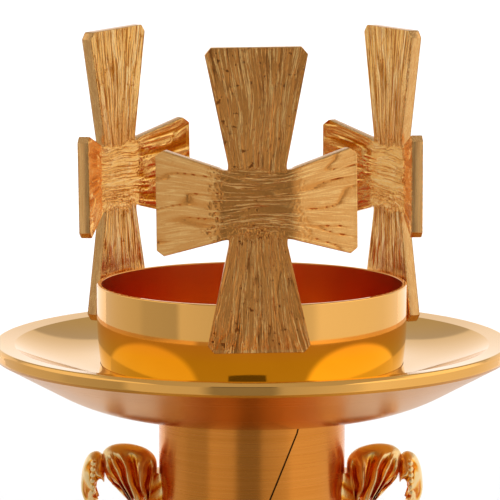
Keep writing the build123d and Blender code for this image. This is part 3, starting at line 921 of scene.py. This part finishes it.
def leaf_stalk():
    """The leaf's body: it lies on the stem and swells out from it, with a midrib and veins."""
    t = np.linspace(0, 1, 150)
    s = np.linspace(-1, 1, 60)
    spine = [
        (32.2, -123.0), (38.0, -113.0), (42.0, -101.0), (41.5, -88.0), (38.5, -76.0), (35.5, -64.0),
    ]
    crest = smooth_through(spine, t)
    half = 12.6 * np.interp(t, [0, 0.1, 0.35, 0.65, 0.85, 1.0], [0.25, 0.6, 1.0, 0.85, 0.8, 0.55])
    half = half * (1 - 0.12 * np.abs(np.sin(math.pi * 6.5 * t)) ** 3)
    across = s[None, :] * half[:, None]
    fan = 13.0 * t[:, None] - 1.8 * np.abs(s)[None, :]
    vein = np.abs(np.cos(math.pi * fan)) ** 0.8
    midrib = np.exp(-((s[None, :] / 0.12) ** 2))
    relief = np.clip(0.25 + 0.6 * vein * np.abs(s)[None, :] ** 0.5 + 0.7 * midrib, 0, 1)
    stem_face = np.sqrt((STEM_RADIUS + 0.03) ** 2 - across**2)
    swell = (crest[:, None, 0] - STEM_RADIUS) * np.cos(math.pi / 2 * s)[None, :] ** 0.75
    upper = stem_face + swell + 1.3 * (relief - 1.0) * (1 - np.abs(s)[None, :] ** 8)
    upper = np.maximum(upper, stem_face)
    level = crest[:, None, 1] + 0 * across
    outside = np.stack([upper, across, level], axis=-1)
    inside = np.stack([stem_face, across, level], axis=-1)
    return closed_sheet(outside, inside, relief)


def bead(place, radius):
    """A small ball as a closed grid."""
    a = np.linspace(0, math.pi, 11)[:, None]
    b = np.linspace(0, 2 * math.pi, 17)[None, :-1]
    ball = np.stack([np.sin(a) * np.cos(b), np.sin(a) * np.sin(b), np.cos(a) + 0 * b], axis=-1)
    return ball * radius + np.asarray(place), np.ones(ball.shape[:2])


def make_scroll(name, node, side):
    dome = [
        (31.9, -66.0), (32.3, -60.2), (35.0, -56.9), (39.5, -55.2), (44.0, -54.8),
        (47.8, -55.6), (50.2, -57.8), (50.6, -61.5), (49.2, -66.0),
    ]
    tip = [
        (49.8, -60.5), (50.6, -58.3), (52.6, -57.4), (55.0, -58.6),
        (56.7, -61.8), (57.5, -66.0), (57.6, -71.0), (56.0, -76.0),
    ]
    grids = [
        leaf_fan(dome, (36.0, -78.5), 12.4, 0.78, 5.4, 3.0),
        leaf_fan(tip, (49.5, -72.0), 8.6, 0.62, 2.5, 0.8),
        leaf_stalk(),
    ]
    for face in (-1, 1):
        for step in range(6):
            place = (53.0 + 0.12 * step, face * (7.4 - 0.1 * step), -60.2 - 2.0 * step)
            grids.append(bead(place, 1.05))
    points, quads, heights = [], [], []
    start = 0
    for grid, relief in grids:
        rows, columns = grid.shape[:2]
        place = np.stack([side * grid[..., 0], grid[..., 1], RIM_Z + grid[..., 2]], axis=-1)
        points.append(place.reshape(-1, 3))
        heights.append(relief.reshape(-1))
        quads.append(grid_quads(rows, columns, start, close_columns=True))
        start += rows * columns
    piece = mesh_piece(name, np.concatenate(points), np.concatenate(quads))
    store(piece, "relief", "FLOAT", "value", heights)
    weld(piece)
    finish_piece(piece, [CAST], node, 60)


# ---- base ----------------------------------------------------------------------------
def make_base():
    band_top = BASE_LOW_Z + 5.5
    foot = (BASE_RADIUS - 8.0, band_top + 1.5)
    head = (52.0, BASE_TOP_Z - 3.0)
    flat = 40.0
    sheet = 1.8
    bore = BASE_RADIUS - sheet
    corners = [
        (BASE_RADIUS, BASE_LOW_Z, 0.4),
        (BASE_RADIUS, band_top, 0.9),
        (*foot, 14.0),
        (*head, 22.0),
        (flat, BASE_TOP_Z, 6.0),
        (ROD_HOLE, BASE_TOP_Z, 0.2),
        (ROD_HOLE, BASE_TOP_Z - sheet, 0.2),
        (flat, BASE_TOP_Z - sheet, 6.0),
        (head[0], head[1] - sheet, 22.0),
        (foot[0] - 1, foot[1] - sheet, 14.0),
        (bore, band_top - sheet + 0.6, 0.3),
        (bore, BASE_LOW_Z, 0.3),
    ]
    shell = lathe("base", rounded_path(corners, 12), 384)
    finish_piece(shell, [MIRROR], "base_shell")


def make_collar():
    low = corner_mm("base_collar", False).z
    high = corner_mm("base_collar", True).z
    radius = corner_mm("base_collar", True).x
    inner = STEM_RADIUS + 0.02
    corners = [
        (inner, low, 0.2),
        (radius, low, 2.4),
        (radius, high - 2.2, 2.2),
        (inner + 1.6, high, 0.8),
        (inner, high, 0.3),
    ]
    collar = lathe("collar", rounded_path(corners, 9), 320)
    finish_piece(collar, [MIRROR], "base_collar")


# ---- small pieces that keep their CAD shape ------------------------------------------
KEPT = {
    "cross_screws": PLAIN_BRASS,
    "cup_spacer": PLAIN_BRASS,
    "stem_top_plug": PLAIN_BRASS,
    "stem_bottom_plug": PLAIN_BRASS,
    "scroll_screws": PLAIN_STEEL,
    "base_weight": IRON,
    "base_plate": PLAIN_STEEL,
    "plate_screws": PLAIN_STEEL,
    "felt_pad": FELT,
    "tie_rod": PLAIN_STEEL,
    "top_washer": PLAIN_BRASS,
    "top_nut": PLAIN_BRASS,
    "bottom_washer": PLAIN_STEEL,
    "bottom_nut": PLAIN_STEEL,
}


def dress_cad_nodes():
    for node, material in KEPT.items():
        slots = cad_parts[node].data.materials
        slots.clear()
        slots.append(material)


make_cup()
make_dish()
for cross_name, (cross_node, turn, cross_lean) in CROSSES.items():
    make_cross(cross_name, cross_node, turn, cross_lean)
make_stem()
make_scroll("left_scroll", "leaf_scroll_left", -1)
make_scroll("right_scroll", "leaf_scroll_right", 1)
make_base()
make_collar()
dress_cad_nodes()


# ---- studio --------------------------------------------------------------------------
FLOOR_HALF = 9000.0
FLOOR_GREY = (0.74, 0.74, 0.74)
SKY_LEFT = 0.52
SKY_RIGHT = 0.82
SKY_BACK_LOW = 1.15
SKY_BACK_HIGH = 0.75
SKY_TOP = 0.50
SOFTBOX_LEFT = 0.95
SOFTBOX_RIGHT = 1.25
CARD_GLOW = 0.12
CARD_LEFT = -420.0
CARD_RIGHT = 250.0
CARD_LOW = 5.0
CARD_HIGH = 1100.0
CARD_Y = -1250.0
RING_RADIUS = 900.0
RING_HEIGHT = 550.0
RING_MOUTH = 125.0
RING_LOW = 2.0
RING_REACH = 135.0
# Brightness of the ring by direction, in degrees from the front, positive to the right.
RING_TONES = [
    (-135.0, 0.70), (-90.0, 0.56), (-84.0, 0.48), (-56.0, 0.44), (-52.0, 0.68), (-22.0, 0.60),
    (-16.0, 0.28), (9.0, 0.28), (13.0, 0.52), (44.0, 0.72), (50.0, 0.90), (110.0, 0.84),
    (135.0, 0.95),
]


def make_floor():
    shader = Shader("studio_floor", metallic=0.0)
    shader.set(shader.surface, "Specular IOR Level", 0.1)
    half = FLOOR_HALF
    points = [(-half, -half, 0), (half, -half, 0), (half, half, 0), (-half, half, 0)]
    floor = mesh_piece("floor", points, [[0, 1, 2, 3]])
    floor.data.materials.append(shader.finish((*FLOOR_GREY, 1), 0.9))


def area_light(name, place, aim, width, height, power, floor_only=False):
    """A soft rectangular light that the camera doesn't see."""
    light = bpy.data.lights.new(name, "AREA")
    light.shape = "RECTANGLE"
    light.size = width
    light.size_y = height
    light.energy = power
    lamp = bpy.data.objects.new(name, light)
    lamp.location = place
    lamp.rotation_euler = (Vector(aim) - Vector(place)).to_track_quat("-Z", "Y").to_euler()
    lamp.visible_camera = False
    lamp.visible_glossy = not floor_only
    bpy.context.scene.collection.objects.link(lamp)


def make_world():
    """A pale tent: brighter to the right and behind, greyer overhead."""
    world = bpy.data.worlds.new("studio")
    bpy.context.scene.world = world
    world.use_nodes = True
    nodes = Nodes(world.node_tree)
    place = nodes.add("ShaderNodeTexCoord").outputs["Generated"]
    parts = nodes.add("ShaderNodeSeparateXYZ", Vector=place)

    def blend(value, low, high, first, second):
        """first below low and second above high, with a soft step between them."""
        node = nodes.add("ShaderNodeMapRange", Value=value, From_Min=low, From_Max=high)
        node.interpolation_type = "SMOOTHSTEP"
        nodes.set(node, "To Min", first)
        nodes.set(node, "To Max", second)
        return node.outputs[0]

    x, y, z = (parts.outputs[axis] for axis in "XYZ")
    sides = blend(x, -0.6, 0.6, SKY_LEFT, SKY_RIGHT)
    back = blend(z, 0.0, 0.5, SKY_BACK_LOW, SKY_BACK_HIGH)
    around = blend(y, 0.1, 0.8, sides, back)
    left_top = blend(x, -0.66, -0.58, SOFTBOX_LEFT, SKY_TOP)
    top = blend(x, 0.58, 0.66, left_top, SOFTBOX_RIGHT)
    sky = blend(z, 0.38, 0.41, around, top)
    nodes.set(nodes.tree.nodes["Background"], "Color", sky)


def reflected_sheet(name, points, quads):
    """A glowing sheet seen only in the metal's reflections; gives its shader and glow node."""
    shader = Shader(name)
    shader.tree.nodes.remove(shader.surface)
    glow = shader.add("ShaderNodeEmission")
    shader.set(shader.tree.nodes["Material Output"], "Surface", glow.outputs[0])
    sheet = mesh_piece(name, points, quads)
    sheet.data.materials.append(shader.material)
    sheet.visible_camera = False
    sheet.visible_diffuse = False
    sheet.visible_shadow = False
    return shader, glow


def make_tone_ring():
    """A floor and a low wall of light and dark strips round the candlestick."""
    turns = np.radians(np.linspace(-RING_REACH, RING_REACH, 73))
    rows = []
    for radius, height in ((RING_MOUTH, RING_LOW), (RING_RADIUS, RING_LOW), (RING_RADIUS, RING_HEIGHT)):
        rows.append(np.stack([radius * np.sin(turns), -radius * np.cos(turns), 0 * turns + height], 1))
    shader, glow = reflected_sheet("tone_ring", np.concatenate(rows), grid_quads(3, len(turns)))
    parts = shader.add("ShaderNodeSeparateXYZ", Vector=shader.place)
    forward = shader.math("MULTIPLY", parts.outputs["Y"], -1.0)
    azimuth = shader.math("ARCTAN2", parts.outputs["X"], forward)
    turn = shader.math("ADD", shader.math("DIVIDE", azimuth, 2 * math.pi), 0.5)
    stops = [(degrees / 360 + 0.5, tone) for degrees, tone in RING_TONES]
    shader.set(glow, "Color", shader.ramp(turn, stops))


def make_dark_card():
    """The unlit gap round the camera."""
    corners = [
        (CARD_LEFT, CARD_Y, CARD_LOW),
        (CARD_RIGHT, CARD_Y, CARD_LOW),
        (CARD_RIGHT, CARD_Y, CARD_HIGH),
        (CARD_LEFT, CARD_Y, CARD_HIGH),
    ]
    shader, glow = reflected_sheet("dark_card", corners, [[0, 1, 2, 3]])
    shader.set(glow, "Color", (CARD_GLOW, CARD_GLOW, CARD_GLOW, 1))


# The camera stands straight in front, above the rim, and looks a little down (in radians).
CAMERA_DISTANCE = 1283.3
CAMERA_RISE = 185.3
CAMERA_TILT = 0.135
CAMERA_LENS = 278.5
CAMERA_SHIFT = -0.0037


def make_camera():
    data = bpy.data.cameras.new("camera")
    data.lens = CAMERA_LENS
    data.sensor_width = 36.0
    data.shift_x = CAMERA_SHIFT
    data.clip_start = 0.05
    data.clip_end = 100.0
    camera = bpy.data.objects.new("camera", data)
    camera.location = (0.0, -CAMERA_DISTANCE * MM, (RIM_Z + CAMERA_RISE) * MM)
    camera.rotation_euler = (math.pi / 2 - CAMERA_TILT, 0.0, 0.0)
    bpy.context.scene.collection.objects.link(camera)
    bpy.context.scene.camera = camera


make_floor()
make_world()
make_dark_card()
make_tone_ring()
area_light("back_floor", (0.0, 2.9, 1.9), (0.0, 2.9, 0.0), 7.0, 4.2, 150, floor_only=True)
area_light("right_floor", (1.9, -0.6, 1.2), (1.5, -0.6, 0.0), 1.6, 2.4, 14, floor_only=True)
make_camera()

scene = bpy.context.scene
scene.view_settings.view_transform = "Standard"
# Light goes back and forth between the cup and the dish.
scene.cycles.max_bounces = 16
scene.cycles.glossy_bounces = 12

bpy.context.view_layer.update()
